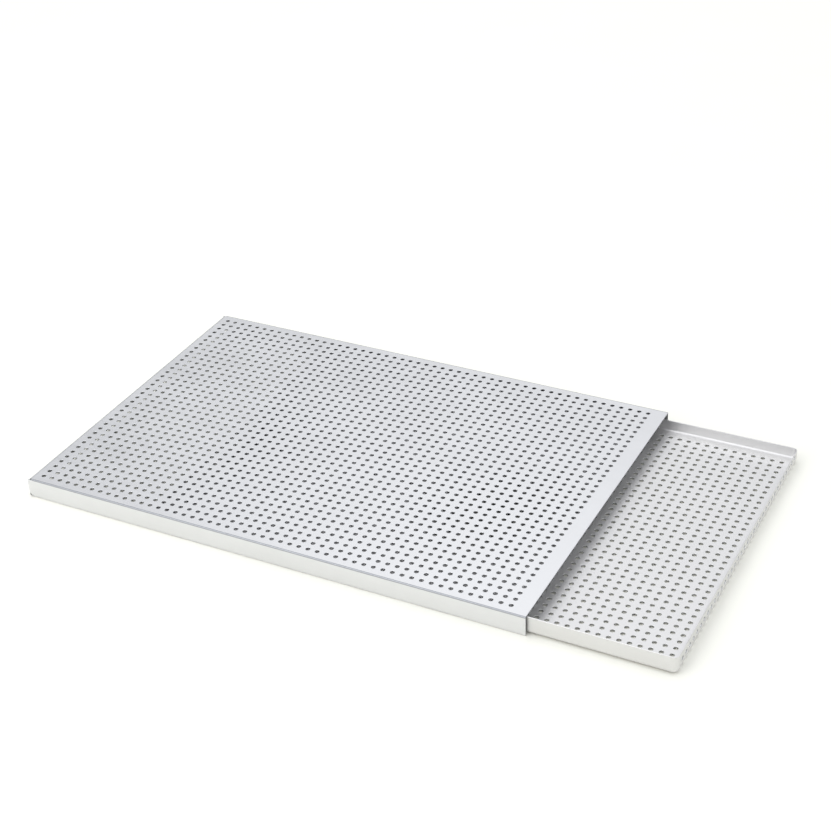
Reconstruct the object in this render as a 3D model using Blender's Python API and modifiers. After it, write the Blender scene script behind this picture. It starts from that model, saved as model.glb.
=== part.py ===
"""Perforated bakery tray in a sliding sleeve cover, both folded from sheet aluminium.

The pan is a shallow tray with four upturned walls. The cover is a flat sheet with
its two long edges folded down and returned under the pan as narrow lips, and its
left end folded down as a stop, so it slides on from the left and off to the left.
Metres, +Z up. The origin is under the middle of the whole assembly, on the table.
The punched holes are finer than this solid model needs and are left out of it.
"""
import math

import bmesh
import bpy
from mathutils import Matrix, Vector

# Driving dimensions
SHEET = 0.0012            # thickness of both sheets
TOUCH_GAP = 0.0003        # gap kept where one sheet rests on the other

PAN_LENGTH = 0.600
PAN_WIDTH = 0.400
PAN_HEIGHT = 0.020        # height of its front wall
PAN_BACK_HEIGHT = 0.014   # height of its back wall; the end walls fall from one to the other
PAN_CORNER = 0.006        # outer radius of the pan's four upright corners
PAN_BEND = 0.004          # outer radius where its floor turns up into the walls

COVER_LENGTH = 0.602
COVER_WIDTH = 0.4074
COVER_HEIGHT = 0.0235
COVER_BEND = 0.0015       # outer radius of the crisp folds along its long edges
END_BEND = 0.005          # outer radius of the softer fold at its closed end
LIP_DEPTH = 0.009         # how far the lips reach in under the pan
END_CLEARANCE = 0.0015    # height of the end flange's lower edge over the table
TAB_CORNER = 0.0045       # rounding of the side flanges' lower left corners
CORNER_SLIT = 0.0008      # gap between the end flange and each side flange

PULLED_OUT = 0.1537       # length of pan that stands out of the cover at rest

ARC_STEPS = 6
CORNER_STEPS = 8
MERGE = 0.0001
SAME = 0.00001            # two places closer than this are the same

# Places that follow from them
TOTAL_LENGTH = COVER_LENGTH + PULLED_OUT
COVER_LEFT = -TOTAL_LENGTH / 2
COVER_RIGHT = COVER_LEFT + COVER_LENGTH
PAN_RIGHT = TOTAL_LENGTH / 2
PAN_CENTRE_X = PAN_RIGHT - PAN_LENGTH / 2
PAN_BOTTOM = SHEET + TOUCH_GAP
QUARTER_TURN = math.pi / 2


def clear_scene():
    for item in list(bpy.data.objects):
        bpy.data.objects.remove(item, do_unlink=True)


def sheet_material(name, colour, roughness):
    """Aluminium sheet: a metallic Principled BSDF."""
    material = bpy.data.materials.new(name)
    material.use_nodes = True
    shader = material.node_tree.nodes["Principled BSDF"]
    shader.inputs["Base Color"].default_value = (*colour, 1.0)
    shader.inputs["Roughness"].default_value = roughness
    shader.inputs["Metallic"].default_value = 1.0
    return material


def add_sheet(name, bm, material, collection, mirrored=False):
    """Make one object of an open outer surface and give it the sheet's thickness."""
    mesh = bpy.data.meshes.new(name)
    bm.to_mesh(mesh)
    bm.free()
    mesh.materials.append(material)
    mesh.shade_smooth()
    mesh.set_sharp_from_angle(angle=math.radians(30))
    sheet = bpy.data.objects.new(name, mesh)
    collection.objects.link(sheet)
    if mirrored:
        mirror = sheet.modifiers.new("other_half", "MIRROR")
        mirror.use_axis = (False, True, False)
        mirror.merge_threshold = MERGE
    thickness = sheet.modifiers.new("sheet_thickness", "SOLIDIFY")
    thickness.thickness = SHEET
    thickness.offset = -1.0
    thickness.use_even_offset = True
    return sheet


def edges_where(bm, test):
    """Edges whose two ends both pass the test."""
    return [edge for edge in bm.edges if all(test(vert.co) for vert in edge.verts)]


def near(value, target):
    return abs(value - target) < SAME


def build_pan(material, collection):
    """A box without its lid, rounded at its corners and along its floor, lower at the back."""
    bm = bmesh.new()
    size = Matrix.Diagonal((PAN_LENGTH, PAN_WIDTH, PAN_HEIGHT, 1.0))
    middle = Matrix.Translation((0.0, 0.0, PAN_HEIGHT / 2))
    bmesh.ops.create_cube(bm, size=1.0, matrix=middle @ size)
    lid = [face for face in bm.faces if face.normal.z > 0.9]
    bmesh.ops.delete(bm, geom=lid, context="FACES_ONLY")
    uprights = [edge for edge in bm.edges if not near(edge.verts[0].co.z, edge.verts[1].co.z)]
    bmesh.ops.bevel(
        bm, geom=uprights, offset=PAN_CORNER, offset_type="OFFSET",
        segments=CORNER_STEPS, profile=0.5, affect="EDGES",
    )
    floor_rim = edges_where(bm, lambda co: near(co.z, 0.0))
    bmesh.ops.bevel(
        bm, geom=floor_rim, offset=PAN_BEND, offset_type="OFFSET",
        segments=ARC_STEPS, profile=0.5, affect="EDGES",
    )
    straight = PAN_WIDTH / 2 - PAN_CORNER
    for vert in bm.verts:
        if near(vert.co.z, PAN_HEIGHT):
            share = (min(max(vert.co.y, -straight), straight) + straight) / (2 * straight)
            vert.co.z -= share * (PAN_HEIGHT - PAN_BACK_HEIGHT)
    bmesh.ops.recalc_face_normals(bm, faces=bm.faces)
    floor = max(bm.faces, key=lambda face: face.calc_area())
    if floor.normal.z > 0:
        bmesh.ops.reverse_faces(bm, faces=bm.faces)
    pan = add_sheet("tray_pan", bm, material, collection)
    pan.location = (PAN_CENTRE_X, 0.0, PAN_BOTTOM)
    return pan


def fold(bm, edges, centre, axis):
    """Carry edges a quarter turn round an axis and return the edges they end on."""
    swept = bmesh.ops.spin(
        bm, geom=edges, cent=centre, axis=axis, angle=QUARTER_TURN, steps=ARC_STEPS,
        use_merge=False, use_duplicate=False,
    )
    return [item for item in swept["geom_last"] if isinstance(item, bmesh.types.BMEdge)]


def run_on(bm, edges, offset):
    """Extend edges by a flat strip and return the strip's far edges."""
    strip = bmesh.ops.extrude_edge_only(bm, edges=edges)
    moved = [item for item in strip["geom"] if isinstance(item, bmesh.types.BMVert)]
    bmesh.ops.translate(bm, verts=moved, vec=Vector(offset))
    return [item for item in strip["geom"] if isinstance(item, bmesh.types.BMEdge)
            and all(vert in moved for vert in item.verts)]


def build_cover(material, collection):
    """The front half of the folded sheet's outer skin, mirrored to the back."""
    half = COVER_WIDTH / 2
    top_left = COVER_LEFT + END_BEND
    top_front = -half + COVER_BEND
    end_front = -half + SHEET + CORNER_SLIT

    # Flat top, from the closed end's fold to the open end
    bm = bmesh.new()
    size = Matrix.Diagonal((COVER_RIGHT - top_left, -top_front, 1.0, 1.0))
    middle = Matrix.Translation(((COVER_RIGHT + top_left) / 2, top_front / 2, COVER_HEIGHT))
    bmesh.ops.create_grid(bm, x_segments=1, y_segments=1, size=0.5, matrix=middle @ size)
    bmesh.ops.bisect_plane(
        bm, geom=[*bm.faces, *bm.edges, *bm.verts],
        plane_co=(0.0, end_front, 0.0), plane_no=(0.0, 1.0, 0.0),
    )

    # Long edge: fold down, flange, fold under, lip with mitred ends
    front = edges_where(bm, lambda co: near(co.y, top_front))
    flange_top = fold(bm, front, (0.0, top_front, COVER_HEIGHT - COVER_BEND), (1.0, 0.0, 0.0))
    flange_height = COVER_HEIGHT - 2 * COVER_BEND
    flange_foot = run_on(bm, flange_top, (0.0, 0.0, -flange_height))
    lip_start = fold(bm, flange_foot, (0.0, top_front, COVER_BEND), (1.0, 0.0, 0.0))
    lip_flat = LIP_DEPTH - COVER_BEND
    lip_end = run_on(bm, lip_start, (0.0, lip_flat, 0.0))
    for vert in {vert for edge in lip_end for vert in edge.verts}:
        vert.co.x += lip_flat if vert.co.x < 0 else -lip_flat

    # The flange runs on past the corner notch to the closed end
    flange_end = edges_where(bm, lambda co: near(co.x, top_left) and near(co.y, -half))
    tab_edge = run_on(bm, flange_end, (-END_BEND, 0.0, 0.0))
    tab_foot = min((vert for edge in tab_edge for vert in edge.verts), key=lambda vert: vert.co.z)
    bmesh.ops.bevel(
        bm, geom=[tab_foot], offset=TAB_CORNER, offset_type="OFFSET",
        segments=ARC_STEPS, profile=0.5, affect="VERTICES",
    )

    # Closed end: soft fold down and its flange
    left = edges_where(bm, lambda co: near(co.x, top_left) and co.y > end_front - SAME)
    end_top = fold(bm, left, (top_left, 0.0, COVER_HEIGHT - END_BEND), (0.0, -1.0, 0.0))
    run_on(bm, end_top, (0.0, 0.0, END_CLEARANCE - COVER_HEIGHT + END_BEND))

    bmesh.ops.recalc_face_normals(bm, faces=bm.faces)
    top = max(bm.faces, key=lambda face: face.calc_area())
    if top.normal.z < 0:
        bmesh.ops.reverse_faces(bm, faces=bm.faces)
    return add_sheet("sliding_cover", bm, material, collection, mirrored=True)


def main():
    clear_scene()
    collection = bpy.data.collections.new("baguette_tray")
    bpy.context.scene.collection.children.link(collection)
    build_pan(sheet_material("pan_aluminium", (0.87, 0.88, 0.87), 0.38), collection)
    build_cover(sheet_material("cover_aluminium", (0.88, 0.90, 0.92), 0.35), collection)


main()
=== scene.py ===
# %% [markdown]
# # A perforated bakery tray in its sliding cover
#
# The object is two pieces of punched sheet aluminium. A shallow pan with four upturned
# walls slides inside a flat sleeve, which is the cover. Almost all that the eye sees is
# sheet metal: some four thousand round holes, the crisp folds of the cover, the softly
# pressed rim of the pan, and the satin way in which bare aluminium reflects a studio.
#
# We make both pieces as a workshop does. First comes a flat blank. Then it is punched.
# Then it is folded or pressed. Because each step is a formula on whole arrays of points,
# every hole stays where it belongs, even those that land on a bend.
#
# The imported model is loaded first. It is the fixed frame: it says where each sheet lies
# and how large it is, and our pieces must fit it.

import math

import bmesh
import bpy
import numpy as np
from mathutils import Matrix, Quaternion, Vector


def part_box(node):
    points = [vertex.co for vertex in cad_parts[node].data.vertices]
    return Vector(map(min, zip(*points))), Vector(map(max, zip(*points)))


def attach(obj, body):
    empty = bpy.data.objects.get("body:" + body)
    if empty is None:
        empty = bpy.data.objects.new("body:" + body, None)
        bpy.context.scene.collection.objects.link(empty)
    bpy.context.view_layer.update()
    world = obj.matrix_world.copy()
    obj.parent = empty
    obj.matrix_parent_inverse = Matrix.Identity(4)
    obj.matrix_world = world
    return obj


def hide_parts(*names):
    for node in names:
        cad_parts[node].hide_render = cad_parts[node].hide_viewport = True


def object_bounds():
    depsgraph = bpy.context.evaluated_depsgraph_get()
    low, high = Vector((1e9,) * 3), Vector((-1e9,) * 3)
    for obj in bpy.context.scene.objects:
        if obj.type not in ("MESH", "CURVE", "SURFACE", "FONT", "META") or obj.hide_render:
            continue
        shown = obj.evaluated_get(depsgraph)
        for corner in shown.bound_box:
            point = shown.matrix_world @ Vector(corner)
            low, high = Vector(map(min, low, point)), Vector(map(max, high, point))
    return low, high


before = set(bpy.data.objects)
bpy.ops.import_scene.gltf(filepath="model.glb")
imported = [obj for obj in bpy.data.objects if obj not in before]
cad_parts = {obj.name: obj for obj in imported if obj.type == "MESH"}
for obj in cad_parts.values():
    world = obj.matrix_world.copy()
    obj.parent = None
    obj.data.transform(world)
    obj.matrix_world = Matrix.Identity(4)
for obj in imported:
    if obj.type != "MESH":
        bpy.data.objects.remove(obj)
cad_low, cad_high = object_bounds()
pan_low, pan_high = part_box("tray_pan")
cover_low, cover_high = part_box("sliding_cover")
print("whole object, mm:", [round(1000 * size, 1) for size in cad_high - cad_low])
print("pan, mm:", [round(1000 * size, 1) for size in pan_high - pan_low])
print("cover, mm:", [round(1000 * size, 1) for size in cover_high - cover_low])

# %% [markdown]
# ## The camera
#
# The camera comes first, so that every later step can be judged through it. A flat thing
# is best seen from well above, at about thirty degrees, past one corner, and with a long
# lens so that the far edge stays nearly as large as the near one.
# The camera is held a little out of level, which shows as a small roll.

# %% The camera
AZIMUTH = math.radians(-28.245)
ELEVATION = math.radians(32.174)
ROLL = math.radians(-2.725)
DISTANCE = 1.983
LENS_MM = 73.12
AIM_OFFSET = Vector((-0.0447, 0.0917, 0.0))      # where the view is centred, from the tray


def add_camera(aim):
    """Stand back from the aim point along a direction given by two angles, and roll.

    The view direction is the unit vector of the azimuth and the downward elevation.
    """
    level = math.cos(ELEVATION)
    forward = Vector((math.sin(AZIMUTH) * level, math.cos(AZIMUTH) * level, -math.sin(ELEVATION)))
    lens = bpy.data.cameras.new("camera")
    lens.lens = LENS_MM
    lens.sensor_width = 36.0
    lens.clip_start = 0.05
    lens.clip_end = 50.0
    camera = bpy.data.objects.new("camera", lens)
    bpy.context.scene.collection.objects.link(camera)
    camera.location = aim - forward * DISTANCE
    camera.rotation_mode = "QUATERNION"
    roll = Quaternion((0.0, 0.0, 1.0), ROLL)
    camera.rotation_quaternion = forward.to_track_quat("-Z", "Y") @ roll
    bpy.context.scene.camera = camera
    return camera


camera = add_camera((cad_low + cad_high) / 2 + AIM_OFFSET)
print("camera stands at, m:", [round(place, 3) for place in camera.location])

# %% [markdown]
# ## The flat blank
#
# A punched sheet has a simple order: the same square with a hole in its middle, over and
# over, inside a frame of plain margins. So the blank is made of two kinds of cell, on
# straight lines in the blank's own two directions, u along the sheet and v across it.
#
# A plain cell is one four-sided face. A punched cell is four six-sided faces, one for
# each side of the square: two corners of the square and four of the hole's twelve
# vertices. That is few faces for a hole, which matters when there are two thousand in a
# sheet. A Boolean cut could make the holes too, but it would take minutes and leave
# slivers.

# %% Plain and punched cells
HOLE_SIDES = 12


def plain_cells(u_lines, v_lines, keep):
    """Corners of the rectangles between two sets of lines, where keep(u, v) is true.

    keep is asked at every rectangle's middle. Corners run anticlockwise.
    """
    u0, v0 = np.meshgrid(u_lines[:-1], v_lines[:-1], indexing="ij")
    u1, v1 = np.meshgrid(u_lines[1:], v_lines[1:], indexing="ij")
    corners = np.stack([u0, v0, u1, v0, u1, v1, u0, v1], axis=-1)
    wanted = keep((u0 + u1) / 2, (v0 + v1) / 2)
    return corners[wanted].reshape(-1, 4, 2)


def punched_cells(u_lines, v_lines, radius):
    """Four faces round a hole in every rectangle between two sets of lines.

    A hole's vertex k stands at the angle (k + 1/2) of a twelfth of a turn. Face j runs up
    side j of the rectangle and comes back along the quarter of the hole that faces it.
    """
    u0, v0 = np.meshgrid(u_lines[:-1], v_lines[:-1], indexing="ij")
    u1, v1 = np.meshgrid(u_lines[1:], v_lines[1:], indexing="ij")
    corner_u = np.stack([u1, u1, u0, u0], axis=-1)
    corner_v = np.stack([v0, v1, v1, v0], axis=-1)
    angle = (np.arange(HOLE_SIDES) + 0.5) * 2 * np.pi / HOLE_SIDES
    hole_u = (u0 + u1)[..., None] / 2 + radius * np.cos(angle)
    hole_v = (v0 + v1)[..., None] / 2 + radius * np.sin(angle)
    side = np.arange(4)
    back = (3 * side[:, None] + np.array([1, 0, -1, -2])) % HOLE_SIDES
    ends = (side[:, None] + np.array([0, 1])) % 4
    faces_u = np.concatenate([corner_u[..., ends], hole_u[..., back]], axis=-1)
    faces_v = np.concatenate([corner_v[..., ends], hole_v[..., back]], axis=-1)
    return np.stack([faces_u, faces_v], axis=-1).reshape(-1, 6, 2)


# %% [markdown]
# Next the separate faces become one sheet: corners in the same place are made one point.
# After that, the blank is scored wherever it will bend. A face can't follow a bend unless
# it has edges there, so every fold gets a set of close lines across it, and a guard line
# just outside, which keeps the smooth shading of the bend off the flat metal beside it.

# %% Weld the cells, and score the blank
SAME_PLACE = 0.00001


def mesh_of(name, points, loops, sizes):
    """A mesh from whole arrays: points, the faces' corners end to end, and their sizes."""
    mesh = bpy.data.meshes.new(name)
    mesh.vertices.add(len(points))
    mesh.vertices.foreach_set("co", points.astype(np.float32).ravel())
    mesh.loops.add(len(loops))
    mesh.loops.foreach_set("vertex_index", loops.astype(np.int32))
    mesh.polygons.add(len(sizes))
    mesh.polygons.foreach_set("loop_start", (np.cumsum(sizes) - sizes).astype(np.int32))
    mesh.update(calc_edges=True)
    return mesh


def arrays_of(mesh):
    """The points, corners and face sizes of a mesh, as whole arrays."""
    points = np.zeros(3 * len(mesh.vertices), np.float32)
    mesh.vertices.foreach_get("co", points)
    loops = np.zeros(len(mesh.loops), np.int32)
    mesh.loops.foreach_get("vertex_index", loops)
    sizes = np.zeros(len(mesh.polygons), np.int32)
    mesh.polygons.foreach_get("loop_total", sizes)
    return points.reshape(-1, 3).astype(float), loops.astype(np.int64), sizes


def listed(cell_groups):
    """The corners of groups of faces as one list, with each face's number of corners."""
    corners = np.concatenate([cells.reshape(-1, 2) for cells in cell_groups])
    sizes = np.concatenate([np.full(len(cells), cells.shape[1]) for cells in cell_groups])
    return corners, sizes


def welded(corners, sizes):
    """One point for all corners that round to the same multiple of a hundredth of a mm."""
    keys = np.round(corners / SAME_PLACE).astype(np.int64)
    unused, first, loops = np.unique(keys, axis=0, return_index=True, return_inverse=True)
    points = np.column_stack([corners[first], np.zeros(len(first))])
    return points, loops.ravel(), sizes


def scored(cell_groups, u_cuts, v_cuts):
    """The welded blank, cut by straight lines across u and across v."""
    flat = mesh_of("blank", *welded(*listed(cell_groups)))
    bm = bmesh.new()
    bm.from_mesh(flat)
    cuts = [((place, 0.0, 0.0), (1.0, 0.0, 0.0)) for place in u_cuts]
    cuts += [((0.0, place, 0.0), (0.0, 1.0, 0.0)) for place in v_cuts]
    for place, direction in cuts:
        everything = [*bm.verts, *bm.edges, *bm.faces]
        bmesh.ops.bisect_plane(
            bm, geom=everything, dist=SAME_PLACE, plane_co=place, plane_no=direction
        )
    bm.to_mesh(flat)
    bm.free()
    arrays = arrays_of(flat)
    bpy.data.meshes.remove(flat)
    return arrays


# %% [markdown]
# ## Thickness and broken edges
#
# A real sheet has a thickness, and its edges aren't razor sharp. The punch pulls the
# metal down a little where it enters, so a hole has a rounded lip on one side only, and
# it is that lip which catches the light as a bright crescent. The outer edges of the
# sheet are deburred on both sides.
#
# Solidify and Bevel modifiers could do this, but they would bevel both sides of every
# hole. Working on arrays, we can choose: an edge that only one face uses is a free edge,
# and it gets a wall. Where it belongs to a hole, the wall is broken on the punched side.
# The walls inside the holes and those along the outline are told apart as two kinds of
# face, because a deburred rim can be as bright as the sheet while a hole's wall is dull.
# The cut metal is also made darker than dull metal, as painted shade in the holes and in
# the gap at the cover's open end.

# %% Give the blank its thickness
SHEET = 0.0012
BROKEN_EDGE = 0.0002
TINY = 1e-12               # keeps a division by a length of nothing finite
FACE_MATERIAL, SHEARED_MATERIAL, RIM_MATERIAL = 0, 1, 2


def free_edges(loops, sizes, count):
    """Starts and ends of the edges that only one face uses, in that face's direction.

    An edge from a to b has the key a times count plus b. It is free if no face has its
    reverse.
    """
    starts = np.repeat(np.cumsum(sizes) - sizes, sizes)
    totals = np.repeat(sizes, sizes)
    place = np.arange(len(loops))
    following = starts + (place - starts + 1) % totals
    first, second = loops, loops[following]
    free = ~np.isin(first * count + second, second * count + first)
    return first[free], second[free]


def turned_over(loops, sizes):
    """The same faces with their corners in the other order."""
    starts = np.repeat(np.cumsum(sizes) - sizes, sizes)
    totals = np.repeat(sizes, sizes)
    return loops[2 * starts + totals - 1 - np.arange(len(loops))]


def inward_shift(points, first, second):
    """For every point on a free edge, the step that moves both its edges in by one unit.

    With unit normals m and n of the two edges, pointing into the metal, the step is
    m plus n, divided by 1 plus their dot product.
    """
    along = points[second] - points[first]
    along /= np.linalg.norm(along, axis=1, keepdims=True)
    inward = np.column_stack([-along[:, 1], along[:, 0]])
    both = np.zeros((len(points), 2))
    np.add.at(both, first, inward)
    np.add.at(both, second, inward)
    square = np.maximum((both ** 2).sum(axis=1, keepdims=True), TINY)
    return 2 * both / square


def thick_sheet(points, loops, sizes, at_hole):
    """Top, underside and walls of the flat sheet: points (u, v, w), corners, sizes, kind.

    w is 0 on the punched side and minus the thickness on the other. at_hole tells the
    holes' points from those of the outline.
    """
    flat = points[:, :2]
    count = len(flat)
    first, second = free_edges(loops, sizes, count)
    shift = inward_shift(flat, first, second) * BROKEN_EDGE
    outline = ~at_hole
    under_shift = shift * outline[:, None]
    rings = [
        (flat + shift, 0.0),
        (flat, -BROKEN_EDGE),
        (flat, BROKEN_EDGE - SHEET),
        (flat + under_shift, -SHEET),
    ]
    solid = np.concatenate([np.column_stack([ring, np.full(count, w)]) for ring, w in rings])
    top, lip, foot, under = (ring * count for ring in range(4))

    def wall(upper, lower, chosen):
        a, b = first[chosen], second[chosen]
        return np.column_stack([b + upper, a + upper, a + lower, b + lower])

    at_outline = outline[first] & outline[second]
    everywhere = np.ones(len(first), bool)
    walls = np.concatenate([
        wall(top, lip, everywhere),
        wall(lip, under, ~at_outline),
        wall(lip, foot, at_outline),
        wall(foot, under, at_outline),
    ])
    all_loops = np.concatenate([loops + top, turned_over(loops, sizes) + under, walls.ravel()])
    all_sizes = np.concatenate([sizes, sizes, np.full(len(walls), 4)])
    kind = np.full(len(all_sizes), FACE_MATERIAL)
    hole_walls = 2 * len(sizes) + len(first)
    rim_walls = len(kind) - 2 * int(at_outline.sum())
    kind[hole_walls:rim_walls] = SHEARED_MATERIAL
    kind[rim_walls:] = RIM_MATERIAL
    used, all_loops = np.unique(all_loops, return_inverse=True)
    return solid[used], all_loops.ravel(), all_sizes, kind


# %% [markdown]
# ## Folding
#
# A press brake turns everything past a line through a right angle round a small radius.
# The fibre in the middle of the sheet keeps its length, so a point at a distance d past
# the line has turned by the angle d over the middle radius, up to a quarter turn, and
# what is left of d runs straight on. Points nearer the inside of the bend than the middle
# fibre turn on a smaller radius, and those outside it on a larger one.
#
# The same rule serves both sheets: the cover is folded along straight lines, and in the
# pan the distance is measured from a rounded rectangle, so that its walls flow round
# the corners as pressed metal does.

# %% The rule of a bend
QUARTER = math.pi / 2
GUARD = 0.00035            # how far a guard line stands outside its bend


def bent(distance, height, radius):
    """How far out and how far up a point lands after the bend.

    distance is measured past the fold line, height from the middle fibre towards the
    inside. With the angle t = distance / radius, held between 0 and a quarter turn, and
    the rest = distance - t * radius: out = (radius - height) sin t + rest cos t, and
    up = radius - (radius - height) cos t + rest sin t.
    """
    turn = np.clip(distance / radius, 0.0, QUARTER)
    rest = distance - turn * radius
    out = (radius - height) * np.sin(turn) + rest * np.cos(turn)
    up = radius - (radius - height) * np.cos(turn) + rest * np.sin(turn)
    return out, up


def folded(points, line, outward, towards, radius):
    """Fold all points past a line through a right angle.

    line is a point of the fold line on the middle fibre, outward the direction in the
    sheet that leads past it, and towards the way the metal turns.
    """
    outward, towards = np.array(outward), np.array(towards)
    offset = points - np.array(line)
    distance, height = offset @ outward, offset @ towards
    out, up = bent(distance, height, radius)
    return points + np.outer(out - distance, outward) + np.outer(up - height, towards)


def fold_lines(start, radius, steps):
    """Places of the score lines of one fold: evenly over the bend, and a guard each side."""
    length = radius * QUARTER
    lines = np.linspace(start, start + length, steps + 1)
    return np.concatenate([[start - GUARD], lines, [start + length + GUARD]])


# %% [markdown]
# ## From arrays to a piece
#
# A finished piece keeps its flat coordinates as an attribute, in metres. The grain of
# rolled sheet runs along the blank, and a material that reads this attribute carries it
# over the folds as the real metal does.

# %% Make a piece
HOLE_RADIUS = 0.0025
SHARP_ANGLE = math.radians(32)


def add_piece(name, solid, loops, sizes, kind, place, materials):
    """One object: faces from arrays, flat coordinates kept, shading sharp at real edges."""
    mesh = mesh_of(name, place, loops, sizes)
    mesh.polygons.foreach_set("material_index", kind.astype(np.int32))
    for material in materials:
        mesh.materials.append(material)
    flat_place = mesh.attributes.new("flat_place", "FLOAT_VECTOR", "POINT")
    flat_place.data.foreach_set("vector", solid.astype(np.float32).ravel())
    mesh.shade_smooth()
    mesh.set_sharp_from_angle(angle=SHARP_ANGLE)
    piece = bpy.data.objects.new(name, mesh)
    bpy.context.scene.collection.objects.link(piece)
    triangles = int((sizes - 2).sum())
    print(name, "has", triangles, "triangles")
    return piece


# %% [markdown]
# ## Bare aluminium
#
# Mill-finish sheet is bright and nearly white, and its gloss is soft: it mirrors a
# window as a glow and not as a window. Three things make it look like metal and not like
# grey paint. The rolling leaves a fine grain along the sheet. Handling and baking leave
# cloudy patches where the gloss is a little duller. And there are a few hairline
# scratches, in all directions, that only show where they catch the light.
#
# All three change the roughness and the bump, and hardly the colour. The patterns read
# the flat coordinates, so they follow the sheet round its folds. The cover's upper folds
# are marked with a second attribute, crease_shade_mask, and their colour is darker there:
# painted shade for the dark line that a tight bend shows.

# %% A small kit for materials


class Nodes:
    """Adds and links shader nodes in few words."""

    def __init__(self, name):
        self.material = bpy.data.materials.new(name)
        self.material.use_nodes = True
        self.tree = self.material.node_tree
        self.shader = self.tree.nodes["Principled BSDF"]

    def add(self, kind, settings=None, **inputs):
        """A node of a kind, with settings on it and values or links on its inputs."""
        node = self.tree.nodes.new("ShaderNode" + kind)
        for name, value in (settings or {}).items():
            setattr(node, name, value)
        for name, value in inputs.items():
            self.put(node.inputs[name.replace("_", " ")], value)
        return node

    def put(self, socket, value):
        """Link an output to a socket, or set the socket to a constant."""
        if isinstance(value, bpy.types.NodeSocket):
            self.tree.links.new(value, socket)
        else:
            socket.default_value = value

    def math(self, operation, *values, clamp=False):
        """One arithmetic step on numbers and links."""
        node = self.add("Math", {"operation": operation, "use_clamp": clamp})
        for socket, value in zip(node.inputs, values):
            self.put(socket, value)
        return node.outputs[0]

    def noise(self, where, stretch, scale, detail=3.0, roughness=0.5, turn=(0.0, 0.0, 0.0)):
        """Cloud noise, centred on zero, on coordinates that are turned and stretched."""
        mapping = self.add("Mapping", Vector=where, Rotation=turn, Scale=stretch)
        node = self.add(
            "TexNoise", Vector=mapping.outputs[0], Scale=scale, Detail=detail, Roughness=roughness
        )
        return self.math("SUBTRACT", node.outputs["Fac"], 0.5)

    def weighted(self, *pairs, start=0.0):
        """A start value plus each link times its weight."""
        total = start
        for link, weight in pairs:
            total = self.math("MULTIPLY_ADD", link, weight, total)
        return total


# %% The finishes
COVER_ALUMINIUM = (0.754, 0.758, 0.768)
PAN_ALUMINIUM = (0.756, 0.752, 0.748)
# Cut metal: dull, and darker still as painted shade in the holes and at the cover's open end
SHEARED_AND_SHADE = (0.50, 0.51, 0.52)
# Painted shade: the cover's upper folds are multiplied by this, for the dark line a tight bend shows
PAINTED_CREASE_SHADE = (0.46, 0.47, 0.49)
COVER_ROUGHNESS, PAN_ROUGHNESS = 0.38, 0.48
LEAST_ROUGHNESS = 0.12
DARKEST, LIGHTEST = 0.94, 1.03            # ends of a tint, as shares of the colour
SCRATCHES = ((0.5, 900.0), (-0.9, 1100.0), (1.9, 1000.0))     # turn and fineness
SCRATCH_LEVEL = 0.27                      # only the peaks of the noise over it are scratches


def tinted(nodes, colour, share):
    """A colour made lighter or darker by a share that a link gives, round zero."""
    mix = nodes.add(
        "Mix", {"data_type": "RGBA", "blend_type": "MIX"},
        Factor=nodes.math("ADD", share, 0.5, clamp=True),
    )
    darker = tuple(DARKEST * channel for channel in colour)
    lighter = tuple(min(1.0, LIGHTEST * channel) for channel in colour)
    mix.inputs[6].default_value = (*darker, 1.0)
    mix.inputs[7].default_value = (*lighter, 1.0)
    return mix.outputs[2]


def darken_with_painted_crease_shade(nodes, metal, crease_shade_mask):
    """The metal's colour with painted shade: darker along the cover's upper folds, where a tight
    bend shows a dark line.
    """
    mix = nodes.add("Mix", {"data_type": "RGBA", "blend_type": "MULTIPLY"}, Factor=crease_shade_mask)
    nodes.put(mix.inputs[6], metal)
    mix.inputs[7].default_value = (*PAINTED_CREASE_SHADE, 1.0)
    return mix.outputs[2]


def satin_sheet(name, colour, gloss_roughness, seed_shift):
    """Rolled aluminium: grain, dull clouds and hairline scratches on satin metal."""
    nodes = Nodes(name)
    flat = nodes.add("Attribute", {"attribute_name": "flat_place"}).outputs["Vector"]
    shifted = nodes.add("VectorMath", {"operation": "ADD"})
    nodes.put(shifted.inputs[0], flat)
    shifted.inputs[1].default_value = seed_shift
    where = shifted.outputs[0]
    grain = nodes.noise(where, (0.05, 1.0, 1.0), 2600.0, detail=2.0)
    bands = nodes.noise(where, (0.08, 1.0, 1.0), 160.0, detail=3.0)
    clouds = nodes.noise(where, (0.7, 1.0, 1.0), 11.0, detail=4.0, roughness=0.6)
    smudges = nodes.noise(where, (1.0, 1.0, 1.0), 48.0, detail=5.0, roughness=0.65)
    scratches = 0.0
    for turn, scale in SCRATCHES:
        streak = nodes.noise(where, (0.03, 1.0, 1.0), scale, detail=1.0, turn=(0.0, 0.0, turn))
        rare = nodes.math("SUBTRACT", streak, SCRATCH_LEVEL, clamp=True)
        scratches = nodes.math("ADD", nodes.math("MULTIPLY", rare, 9.0, clamp=True), scratches)
    roughness = nodes.weighted(
        (grain, 0.10), (bands, 0.10), (clouds, 0.16), (smudges, 0.08), (scratches, -0.10),
        start=gloss_roughness,
    )
    roughness = nodes.math("MAXIMUM", roughness, LEAST_ROUGHNESS)
    nodes.put(nodes.shader.inputs["Roughness"], roughness)
    share = nodes.weighted((clouds, 0.9), (bands, 0.5), (smudges, 0.5))
    # Painted shade along the cover's upper folds, read from their mask
    crease_shade_mask = nodes.add("Attribute", {"attribute_name": "crease_shade_mask"}).outputs["Fac"]
    metal = tinted(nodes, colour, share)
    nodes.put(nodes.shader.inputs["Base Color"], darken_with_painted_crease_shade(nodes, metal, crease_shade_mask))
    height = nodes.weighted((grain, 0.5), (bands, 0.6), (scratches, -0.5))
    bump = nodes.add("Bump", Height=height, Strength=0.10, Distance=0.00006)
    nodes.put(nodes.shader.inputs["Normal"], bump.outputs[0])
    nodes.shader.inputs["Metallic"].default_value = 1.0
    return nodes.material


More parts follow.
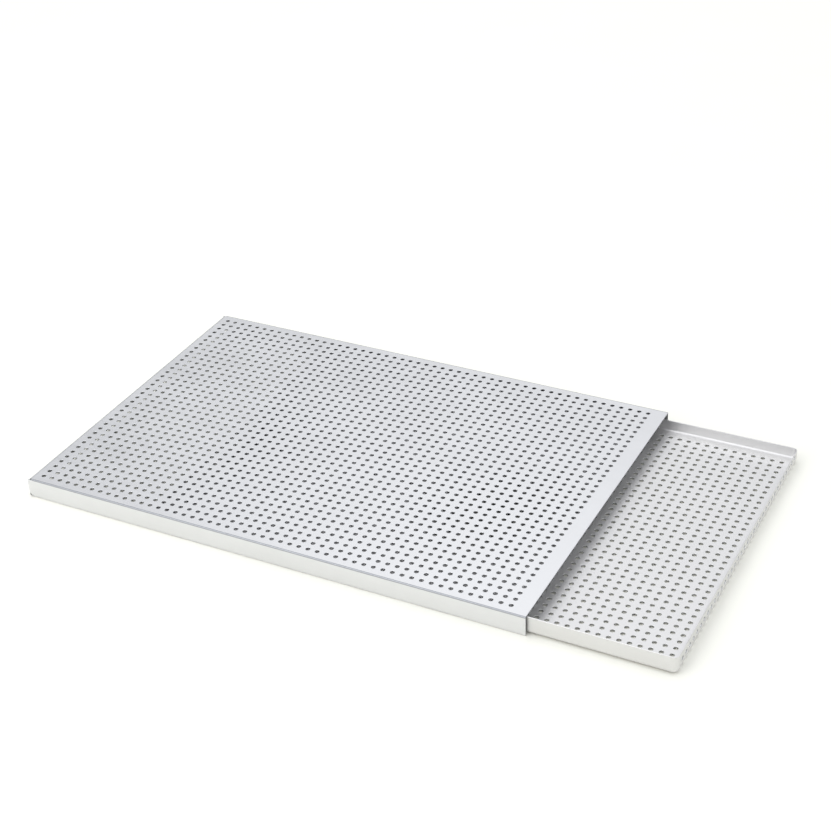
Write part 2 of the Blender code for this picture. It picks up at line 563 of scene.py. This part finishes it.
def sheared_edge_and_shade(name, colour):
    """The cut metal inside a hole and along an edge: dull and torn across, and darkened as painted
    shade in the holes and at the cover's open end.
    """
    nodes = Nodes(name)
    flat = nodes.add("Attribute", {"attribute_name": "flat_place"}).outputs["Vector"]
    tears = nodes.noise(flat, (1.0, 1.0, 0.08), 3200.0, detail=2.0)
    patches = nodes.noise(flat, (1.0, 1.0, 1.0), 130.0, detail=2.0)
    roughness = nodes.weighted((tears, 0.25), (patches, 0.2), start=0.5)
    nodes.put(nodes.shader.inputs["Roughness"], roughness)
    share = nodes.weighted((tears, 1.2), (patches, 0.8))
    nodes.put(nodes.shader.inputs["Base Color"], tinted(nodes, colour, share))
    bump = nodes.add("Bump", Height=tears, Strength=0.25, Distance=0.0001)
    nodes.put(nodes.shader.inputs["Normal"], bump.outputs[0])
    nodes.shader.inputs["Metallic"].default_value = 1.0
    return nodes.material


cover_metal = satin_sheet("cover_satin_aluminium", COVER_ALUMINIUM, COVER_ROUGHNESS, (0.0, 0.0, 0.0))
pan_metal = satin_sheet("pan_satin_aluminium", PAN_ALUMINIUM, PAN_ROUGHNESS, (3.1, 1.7, 0.4))
# The cut edges' material is partly real dull metal, partly painted shade
cut_metal_and_shade = sheared_edge_and_shade("sheared_aluminium_and_shade", SHEARED_AND_SHADE)
print("materials:", [material.name for material in bpy.data.materials])

# %% [markdown]
# ## The sliding cover
#
# The cover is one sheet, folded along its two long edges into a C that wraps round the
# pan: down over the pan's wall, then in under its floor as a narrow lip. Its left end is
# folded down too, on a softer radius, and closes the sleeve. There the side flanges run
# on as short tabs with a rounded lower corner, next to a small notch that lets the two
# folds meet without tearing.
#
# The blank's lines are worked out from the outside of the finished cover, going from the
# long edge inwards: lip, fold, flange, fold, top.

# %% The cover's blank
COVER_BEND = 0.0015        # outer radius of the crisp folds
END_BEND = 0.005           # outer radius of the soft fold at the closed end
LIP_DEPTH = 0.009
END_CLEARANCE = 0.0015     # height of the end flange's edge over the table
CORNER_SLIT = 0.0008       # gap between the end flange and a side flange
TAB_CORNER = 0.0045
BEND_STEPS = 6
END_BEND_STEPS = 12
COVER_COLUMNS, COVER_ROWS = 53, 37
LEFT_MARGIN, RIGHT_MARGIN, SIDE_MARGIN = 0.0142, 0.0202, 0.0117

crisp_middle = COVER_BEND - SHEET / 2
soft_middle = END_BEND - SHEET / 2
crisp_arc = crisp_middle * QUARTER
soft_arc = soft_middle * QUARTER
cover_half = cover_high.y
cover_height = cover_high.z

# Places across the blank, from the middle to the front or back edge
top_fold = cover_half - COVER_BEND
flange_start = top_fold + crisp_arc
flange_end = flange_start + cover_height - 2 * COVER_BEND
lip_start = flange_end + crisp_arc
lip_end = lip_start + LIP_DEPTH - COVER_BEND
end_side = cover_half - SHEET - CORNER_SLIT
tab_rise = TAB_CORNER * (1 - np.cos(np.linspace(0.0, QUARTER, BEND_STEPS + 1)))

# Places along it, from the closed end to the open end
end_fold = cover_low.x + END_BEND
tab_start = cover_low.x
end_foot = end_fold - soft_arc - (cover_height - END_BEND - END_CLEARANCE)


def even_lines(first, last, count):
    """The lines between cells whose middles are spread evenly from first to last."""
    pitch = (last - first) / (count - 1)
    return first + pitch * (np.arange(count + 1) - 0.5)


cover_u = even_lines(cover_low.x + LEFT_MARGIN, cover_high.x - RIGHT_MARGIN, COVER_COLUMNS)
cover_v = even_lines(-cover_half + SIDE_MARGIN, cover_half - SIDE_MARGIN, COVER_ROWS)
print("hole pitch of the cover, mm:", np.round(1000 * np.array([
    cover_u[1] - cover_u[0], cover_v[1] - cover_v[0]]), 3))


def over_holes(u, v, u_lines, v_lines):
    """True inside the punched rectangle."""
    inside_u = (u > u_lines[0]) & (u < u_lines[-1])
    return inside_u & (v > v_lines[0]) & (v < v_lines[-1])


def cover_blank():
    """The punched blank with its notches, tabs and mitred lips, scored for its folds."""
    u_lines = np.concatenate([[end_foot, tab_start, end_fold], cover_u, [cover_high.x]])
    across = np.concatenate([
        [end_side, top_fold, flange_start], flange_end - tab_rise[::-1], [lip_start, lip_end]
    ])
    v_lines = np.concatenate([-across[::-1], cover_v, across])

    def is_metal(u, v):
        side = np.abs(v)
        in_end = side < end_side
        in_tab = (side > flange_start) & (side < flange_end) & (u > tab_start)
        return (u > end_fold) | in_end | in_tab

    def is_plain(u, v):
        return is_metal(u, v) & ~over_holes(u, v, cover_u, cover_v)

    groups = [
        plain_cells(u_lines, v_lines, is_plain),
        punched_cells(cover_u, cover_v, HOLE_RADIUS),
    ]
    side_cuts = np.concatenate([
        fold_lines(top_fold, crisp_middle, BEND_STEPS),
        fold_lines(flange_end, crisp_middle, BEND_STEPS),
    ])
    end_cuts = 2 * end_fold - fold_lines(end_fold, soft_middle, END_BEND_STEPS)
    points, loops, sizes = scored(groups, end_cuts, np.concatenate([side_cuts, -side_cuts]))
    at_hole = over_holes(points[:, 0], points[:, 1], cover_u, cover_v)
    return shaped_corners(points), loops, sizes, at_hole


def shaped_corners(points):
    """Move the blank's end points in, so that tabs are rounded and lips are mitred.

    A tab's end moves in by r - sqrt(r^2 - (r - rise)^2) near its foot, and a lip's by as
    much as it has come in under the pan.
    """
    u, side = points[:, 0].copy(), np.abs(points[:, 1])
    rise = np.clip(flange_end - side, 0.0, TAB_CORNER)
    round_in = TAB_CORNER - np.sqrt(TAB_CORNER ** 2 - (TAB_CORNER - rise) ** 2)
    on_tab = (np.abs(u - tab_start) < SAME_PLACE) & (side > flange_start - SAME_PLACE)
    u[on_tab] += round_in[on_tab]
    mitre = np.clip(side - lip_start, 0.0, None)
    left = (np.abs(points[:, 0] - end_fold) < SAME_PLACE)
    right = (np.abs(points[:, 0] - cover_high.x) < SAME_PLACE)
    u += mitre * left - mitre * right
    return np.column_stack([u, points[:, 1], points[:, 2]])


def fold_cover(solid):
    """Fold the lips, then the flanges, then the closed end, as a press brake would."""
    middle = cover_height - SHEET / 2
    place = solid + np.array([0.0, 0.0, cover_height])
    down = (0.0, 0.0, -1.0)
    for start in (flange_end, top_fold):
        for side in (-1.0, 1.0):
            line = (0.0, side * start, middle)
            place = folded(place, line, (0.0, side, 0.0), down, crisp_middle)
    in_end = np.abs(solid[:, 1]) < end_side + SAME_PLACE
    line = (end_fold, 0.0, middle)
    place[in_end] = folded(place[in_end], line, (-1.0, 0.0, 0.0), down, soft_middle)
    return place


def make_cover():
    """The folded cover, with a mask of its upper creases kept for their painted shade."""
    solid, loops, sizes, kind = thick_sheet(*cover_blank())
    # The cover's hole walls and cut outline take the darker cut material, partly painted shade
    metals = [cover_metal, cut_metal_and_shade, cut_metal_and_shade]
    piece = add_piece("perforated_cover", solid, loops, sizes, kind, fold_cover(solid), metals)
    side = np.abs(solid[:, 1])
    # The upper folds, where the colour gets painted shade
    in_shaded_crease = (side > top_fold - BROKEN_EDGE) & (side < flange_start + BROKEN_EDGE)
    crease_shade_mask = piece.data.attributes.new("crease_shade_mask", "FLOAT", "POINT")
    crease_shade_mask.data.foreach_set("value", in_shaded_crease.astype(np.float32))
    return piece


cover = make_cover()
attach(cover, "cover")
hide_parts("sliding_cover")

# %% [markdown]
# ## The pan
#
# The pan's walls flow round its corners without a seam, so its blank can't be folded
# along straight lines alone. Picture a core rectangle on the floor, set in a little from
# the bend. Every point outside it lies at some distance from its nearest point of the
# core, and it moves along the line between the two: first flat, then round the bend, then
# up the wall. Beside the core that is an ordinary fold. At a corner the nearest point is
# always the core's corner, so the metal fans out from it and the wall comes out round.
#
# The punched field doesn't stop at the bend: at each end one more column falls on the
# bend itself and another on the wall, which shows that the sheet was punched before it
# was pressed.
#
# The back wall is lower than the front one. Past the outermost holes the blank is only a
# border, so it is drawn in there, more and more from front to back, and the rim falls
# in a straight line along the end walls once the sheet is pressed.

# %% The pan's blank
PAN_BEND = 0.004           # outer radius where the floor turns up
PAN_CORNER = 0.006         # outer radius of the upright corners
PAN_BACK_HEIGHT = 0.014    # the back wall is lower than the front one
PAN_BEND_STEPS = 8
CORNER_STEPS = 10
PAN_COLUMNS, PAN_ROWS = 54, 36
WALL_COLUMNS = 2           # punched columns past the floor's own, at each end
END_MARGIN, FRONT_MARGIN, BACK_MARGIN = 0.0137, 0.0141, 0.0153

pan_centre = (pan_low + pan_high) / 2
pan_half = (pan_high - pan_low) / 2
pan_height = pan_high.z - pan_low.z
pan_middle = PAN_BEND - SHEET / 2
pan_arc = pan_middle * QUARTER
core_half_u = pan_half.x - PAN_CORNER
core_half_v = pan_half.y - PAN_CORNER
bend_start = PAN_CORNER - PAN_BEND
reach = bend_start + pan_arc + pan_height - PAN_BEND

pan_pitch_u = (2 * pan_half.x - 2 * END_MARGIN) / (PAN_COLUMNS - 1)
last_column = pan_half.x - END_MARGIN + WALL_COLUMNS * pan_pitch_u
BORDER_START = last_column - core_half_u + HOLE_RADIUS + BROKEN_EDGE
pan_u = even_lines(-last_column, last_column, PAN_COLUMNS + 2 * WALL_COLUMNS)
pan_v = even_lines(FRONT_MARGIN - pan_half.y, pan_half.y - BACK_MARGIN, PAN_ROWS)
print("hole pitch of the pan, mm:", np.round(1000 * np.array([
    pan_u[1] - pan_u[0], pan_v[1] - pan_v[0]]), 3))


def corner_fan(distances, side_u, side_v):
    """Four-sided faces of one corner of the blank, in rings round the core's corner.

    A point at distance r and angle a lies at the core's corner plus r (cos a, sin a).
    """
    angles = np.linspace(0.0, QUARTER, CORNER_STEPS + 1)
    radius, angle = np.meshgrid(distances, angles, indexing="ij")
    u = side_u * (core_half_u + radius * np.cos(angle))
    v = side_v * (core_half_v + radius * np.sin(angle))
    grid = np.stack([u, v], axis=-1)
    cells = np.stack([grid[:-1, :-1], grid[1:, :-1], grid[1:, 1:], grid[:-1, 1:]], axis=2)
    if side_u * side_v < 0:
        cells = cells[:, :, ::-1]
    rings = cells[1:].reshape(-1, 4, 2)
    pole = cells[0][:, 1:] if side_u * side_v > 0 else cells[0][:, :3]
    return [rings, pole]


def pan_blank():
    """The punched blank of the pan, scored for its bends, with fans at its corners."""
    bend = fold_lines(bend_start, pan_middle, PAN_BEND_STEPS)
    beyond_u = pan_u[pan_u > core_half_u] - core_half_u
    distances = np.unique(np.round(np.concatenate([[0.0], bend, beyond_u, [reach]]), 9))
    outer_u = core_half_u + distances
    outer_v = core_half_v + distances
    inner_u = pan_u[np.abs(pan_u) < core_half_u]
    u_lines = np.concatenate([-outer_u[::-1], inner_u, outer_u])
    v_lines = np.concatenate([-outer_v[::-1], pan_v, outer_v])

    def is_plain(u, v):
        at_corner = (np.abs(u) > core_half_u) & (np.abs(v) > core_half_v)
        return ~at_corner & ~over_holes(u, v, pan_u, pan_v)

    middle = [plain_cells(u_lines, v_lines, is_plain), punched_cells(pan_u, pan_v, HOLE_RADIUS)]
    end_cuts = core_half_u + np.concatenate([[0.0], bend])
    points, loops, sizes = scored(middle, np.concatenate([end_cuts, -end_cuts]), [])
    fans = []
    for side_u in (-1, 1):
        for side_v in (-1, 1):
            fans += corner_fan(distances, side_u, side_v)
    fan_corners, fan_sizes = listed(fans)
    corners = np.concatenate([points[loops, :2], fan_corners])
    points, loops, sizes = welded(corners, np.concatenate([sizes, fan_sizes]))
    at_hole = over_holes(points[:, 0], points[:, 1], pan_u, pan_v)
    return trimmed_border(points), loops, sizes, at_hole


def from_core(flat):
    """Each point's nearest point of the core, the step from there, and its length."""
    core = np.array([core_half_u, core_half_v])
    nearest = np.clip(flat, -core, core)
    offset = flat - nearest
    return nearest, offset, np.maximum(np.linalg.norm(offset, axis=1), TINY)


def trimmed_border(points):
    """Draw the blank's border in, so that the rim falls from the front wall to the back.

    Past the outermost holes, a distance d from the core becomes
    start + (d - start) * (1 - share * cut / (reach - start)). share goes from 0 in front
    to 1 at the back, and cut is the difference between the two walls' heights.
    """
    nearest, offset, distance = from_core(points[:, :2])
    share = (nearest[:, 1] + core_half_v) / (2 * core_half_v)
    kept = 1 - share * (pan_height - PAN_BACK_HEIGHT) / (reach - BORDER_START)
    drawn = BORDER_START + (distance - BORDER_START) * kept
    scale = np.where(distance > BORDER_START, drawn / distance, 1.0)
    return np.column_stack([nearest + offset * scale[:, None], points[:, 2]])


def press_pan(solid):
    """Turn up the walls: each point moves along its line from the core rectangle."""
    nearest, offset, distance = from_core(solid[:, :2])
    outward = offset / distance[:, None]
    height = solid[:, 2] + SHEET / 2
    out, up = bent(distance - bend_start, height, pan_middle)
    across = nearest + outward * (out + bend_start)[:, None]
    place = np.column_stack([across, up + SHEET / 2])
    return place + np.array([pan_centre.x, pan_centre.y, pan_low.z])


def make_pan():
    """The pressed pan, with rims as bright as its faces."""
    solid, loops, sizes, kind = thick_sheet(*pan_blank())
    metals = [pan_metal, cut_metal_and_shade, pan_metal]
    return add_piece("perforated_pan", solid, loops, sizes, kind, press_pan(solid), metals)


pan = make_pan()
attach(pan, "pan")
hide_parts("tray_pan")

# %% [markdown]
# ## The studio
#
# Bare metal has no look of its own: it shows what stands round it. For an even, bright
# satin it needs large pale things to mirror. The floor and the air are nearly white. A
# large soft light hangs behind and above, because that is what the flat tops mirror
# towards the camera, and a second one stands in front, for the walls that face it. The
# air is brightest overhead, where it lights the floor, and dims towards the horizon,
# where it would wash out the metal's own shades.

# %% Floor, air and lights
FLOOR_SIZE = 12.0
FLOOR_DROP = 0.0002        # keeps the floor clear of the lips that rest on it
PAPER = (0.95, 0.945, 0.872)
AIR_COLOUR = (0.955, 0.968, 1.0)
HORIZON_STRENGTH, ZENITH_STRENGTH = 0.56, 1.50
DIM_BELOW, BRIGHT_ABOVE = 0.47, 0.90      # heights of a direction, from 0 level to 1 up


def floor_material():
    """Pale matt paper with a faint unevenness."""
    nodes = Nodes("pale_floor")
    where = nodes.add("TexCoord").outputs["Object"]
    fibres = nodes.noise(where, (1.0, 1.0, 1.0), 9.0, detail=4.0)
    colour = tinted(nodes, PAPER, nodes.math("MULTIPLY", fibres, 0.3))
    nodes.put(nodes.shader.inputs["Base Color"], colour)
    nodes.put(nodes.shader.inputs["Roughness"], nodes.weighted((fibres, 0.1), start=0.85))
    return nodes.material


def add_floor():
    """One square face just under the object."""
    half = FLOOR_SIZE / 2
    corners = [(-half, -half, 0.0), (half, -half, 0.0), (half, half, 0.0), (-half, half, 0.0)]
    mesh = bpy.data.meshes.new("floor")
    mesh.from_pydata([(x, y, cad_low.z - FLOOR_DROP) for x, y, z in corners], [], [(0, 1, 2, 3)])
    mesh.materials.append(floor_material())
    floor = bpy.data.objects.new("floor", mesh)
    bpy.context.scene.collection.objects.link(floor)
    return floor


def add_air(horizon, zenith):
    """World light that grows smoothly from one strength low down to another overhead."""
    world = bpy.data.worlds.new("studio_air")
    bpy.context.scene.world = world
    world.use_nodes = True
    tree = world.node_tree
    background = tree.nodes["Background"]
    direction = tree.nodes.new("ShaderNodeTexCoord")
    split = tree.nodes.new("ShaderNodeSeparateXYZ")
    ramp = tree.nodes.new("ShaderNodeMapRange")
    ramp.interpolation_type = "SMOOTHSTEP"
    ramp.inputs["From Min"].default_value = DIM_BELOW
    ramp.inputs["From Max"].default_value = BRIGHT_ABOVE
    ramp.inputs["To Min"].default_value = horizon
    ramp.inputs["To Max"].default_value = zenith
    tree.links.new(direction.outputs["Generated"], split.inputs[0])
    tree.links.new(split.outputs["Z"], ramp.inputs["Value"])
    tree.links.new(ramp.outputs[0], background.inputs["Strength"])
    background.inputs["Color"].default_value = (*AIR_COLOUR, 1.0)


def add_softbox(name, place, target, size, power):
    """A square area light that faces a target."""
    light = bpy.data.lights.new(name, "AREA")
    light.shape = "SQUARE"
    light.size = size
    light.energy = power
    lamp = bpy.data.objects.new(name, light)
    bpy.context.scene.collection.objects.link(lamp)
    lamp.location = place
    lamp.rotation_mode = "QUATERNION"
    lamp.rotation_quaternion = (Vector(target) - Vector(place)).to_track_quat("-Z", "Y")
    return lamp


floor = add_floor()
add_air(HORIZON_STRENGTH, ZENITH_STRENGTH)
MIDDLE = (0.0, 0.0, 0.0)
add_softbox("back_softbox", (-0.95, 2.05, 2.30), MIDDLE, size=1.8, power=4.6)
add_softbox("front_softbox", (-1.05, -1.95, 1.40), MIDDLE, size=2.0, power=22.0)
bpy.context.scene.view_settings.view_transform = "Standard"
